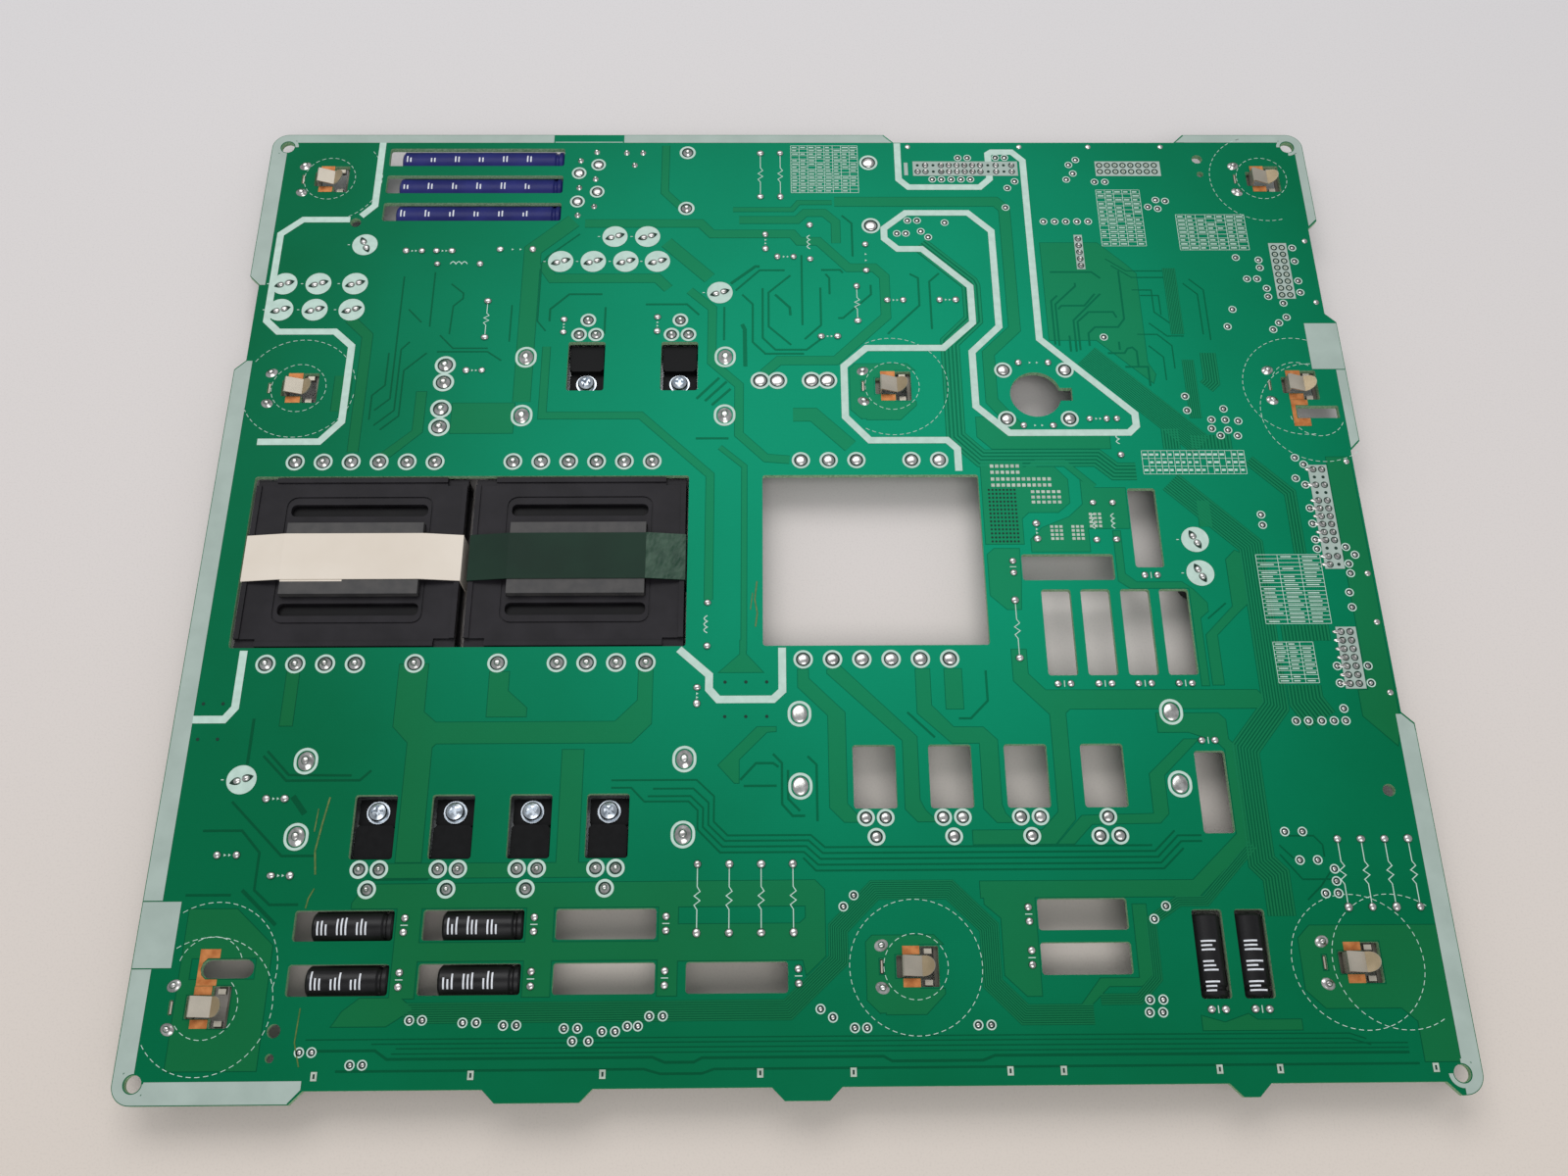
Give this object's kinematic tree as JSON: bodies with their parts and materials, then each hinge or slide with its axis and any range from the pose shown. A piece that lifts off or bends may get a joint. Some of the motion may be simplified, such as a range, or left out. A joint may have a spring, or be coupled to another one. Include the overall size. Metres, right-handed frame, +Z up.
{
  "type": "power supply board",
  "caption": "Slim switched-mode power supply board, solder side up, with low-profile transformers, lying capacitors, sunk transistors, ground clips and pin headers on a windowed circuit board.",
  "frame": {"origin": "middle of the bounding box at its bottom, the plane that the transformers and headers rest on", "axes": "+X along the long edge to the right of the picture, +Y to the back edge, +Z up out of the solder side"},
  "size_m": [0.33, 0.2916, 0.0144],
  "materials": {
    "laminate": "glass epoxy laminate under green solder mask",
    "bobbin": "black phenolic moulding",
    "ferrite": "ground dark grey ferrite",
    "copper_wire": "enamelled copper wire",
    "tape_cream": "cream polyester tape",
    "tape_green": "dark green polyester tape",
    "tinned": "tinned wire",
    "moulding": "black epoxy moulding",
    "aluminium": "stamped aluminium",
    "plated_steel": "zinc plated",
    "blue_sleeve": "blue shrink sleeve",
    "black_sleeve": "black shrink sleeve",
    "spring_metal": "tin plated phosphor bronze",
    "white_nylon": "natural nylon",
    "resistor_coat": "lacquered film resistor",
    "disc_coat": "dipped coating",
    "film_case": "moulded case",
    "solder": "bright wave solder"
  },
  "bodies": {
    "root": {"circuit_board": "laminate", "transformer_1_bobbin": "bobbin", "transformer_1_core_upper": "ferrite", "transformer_1_core_lower": "ferrite", "transformer_1_winding": "copper_wire", "transformer_1_tape": "tape_cream", "transformer_1_pins": "tinned", "transformer_2_bobbin": "bobbin", "transformer_2_core_upper": "ferrite", "transformer_2_core_lower": "ferrite", "transformer_2_winding": "copper_wire", "transformer_2_tape": "tape_green", "transformer_2_pins": "tinned", "transistor_1": "moulding", "transistor_2": "moulding", "transistor_3": "moulding", "transistor_4": "moulding", "transistor_5": "moulding", "transistor_6": "moulding", "transistor_leads": "tinned", "heat_sink_front": "aluminium", "heat_sink_back": "aluminium", "heat_sink_screws": "plated_steel", "bulk_capacitor_1": "blue_sleeve", "bulk_capacitor_2": "blue_sleeve", "bulk_capacitor_3": "blue_sleeve", "output_capacitor_1": "black_sleeve", "output_capacitor_2": "black_sleeve", "output_capacitor_3": "black_sleeve", "output_capacitor_4": "black_sleeve", "output_capacitor_5": "black_sleeve", "output_capacitor_6": "black_sleeve", "upright_capacitors": "black_sleeve", "capacitor_leads": "tinned", "ground_clip_1": "spring_metal", "ground_clip_2": "spring_metal", "ground_clip_3": "spring_metal", "ground_clip_4": "spring_metal", "ground_clip_5": "spring_metal", "ground_clip_6": "spring_metal", "ground_clip_7": "spring_metal", "ground_clip_8": "spring_metal", "header_1": "white_nylon", "header_2": "white_nylon", "header_3": "white_nylon", "header_4": "white_nylon", "header_pins": "tinned", "axial_resistors": "resistor_coat", "axial_diodes": "moulding", "disc_capacitors": "disc_coat", "bead_inductors": "ferrite", "small_leads": "tinned", "line_filter_core": "ferrite", "line_filter_windings": "copper_wire", "film_capacitor": "film_case", "power_leads": "tinned", "solder_joints": "solder"}
  },
  "joints": []
}
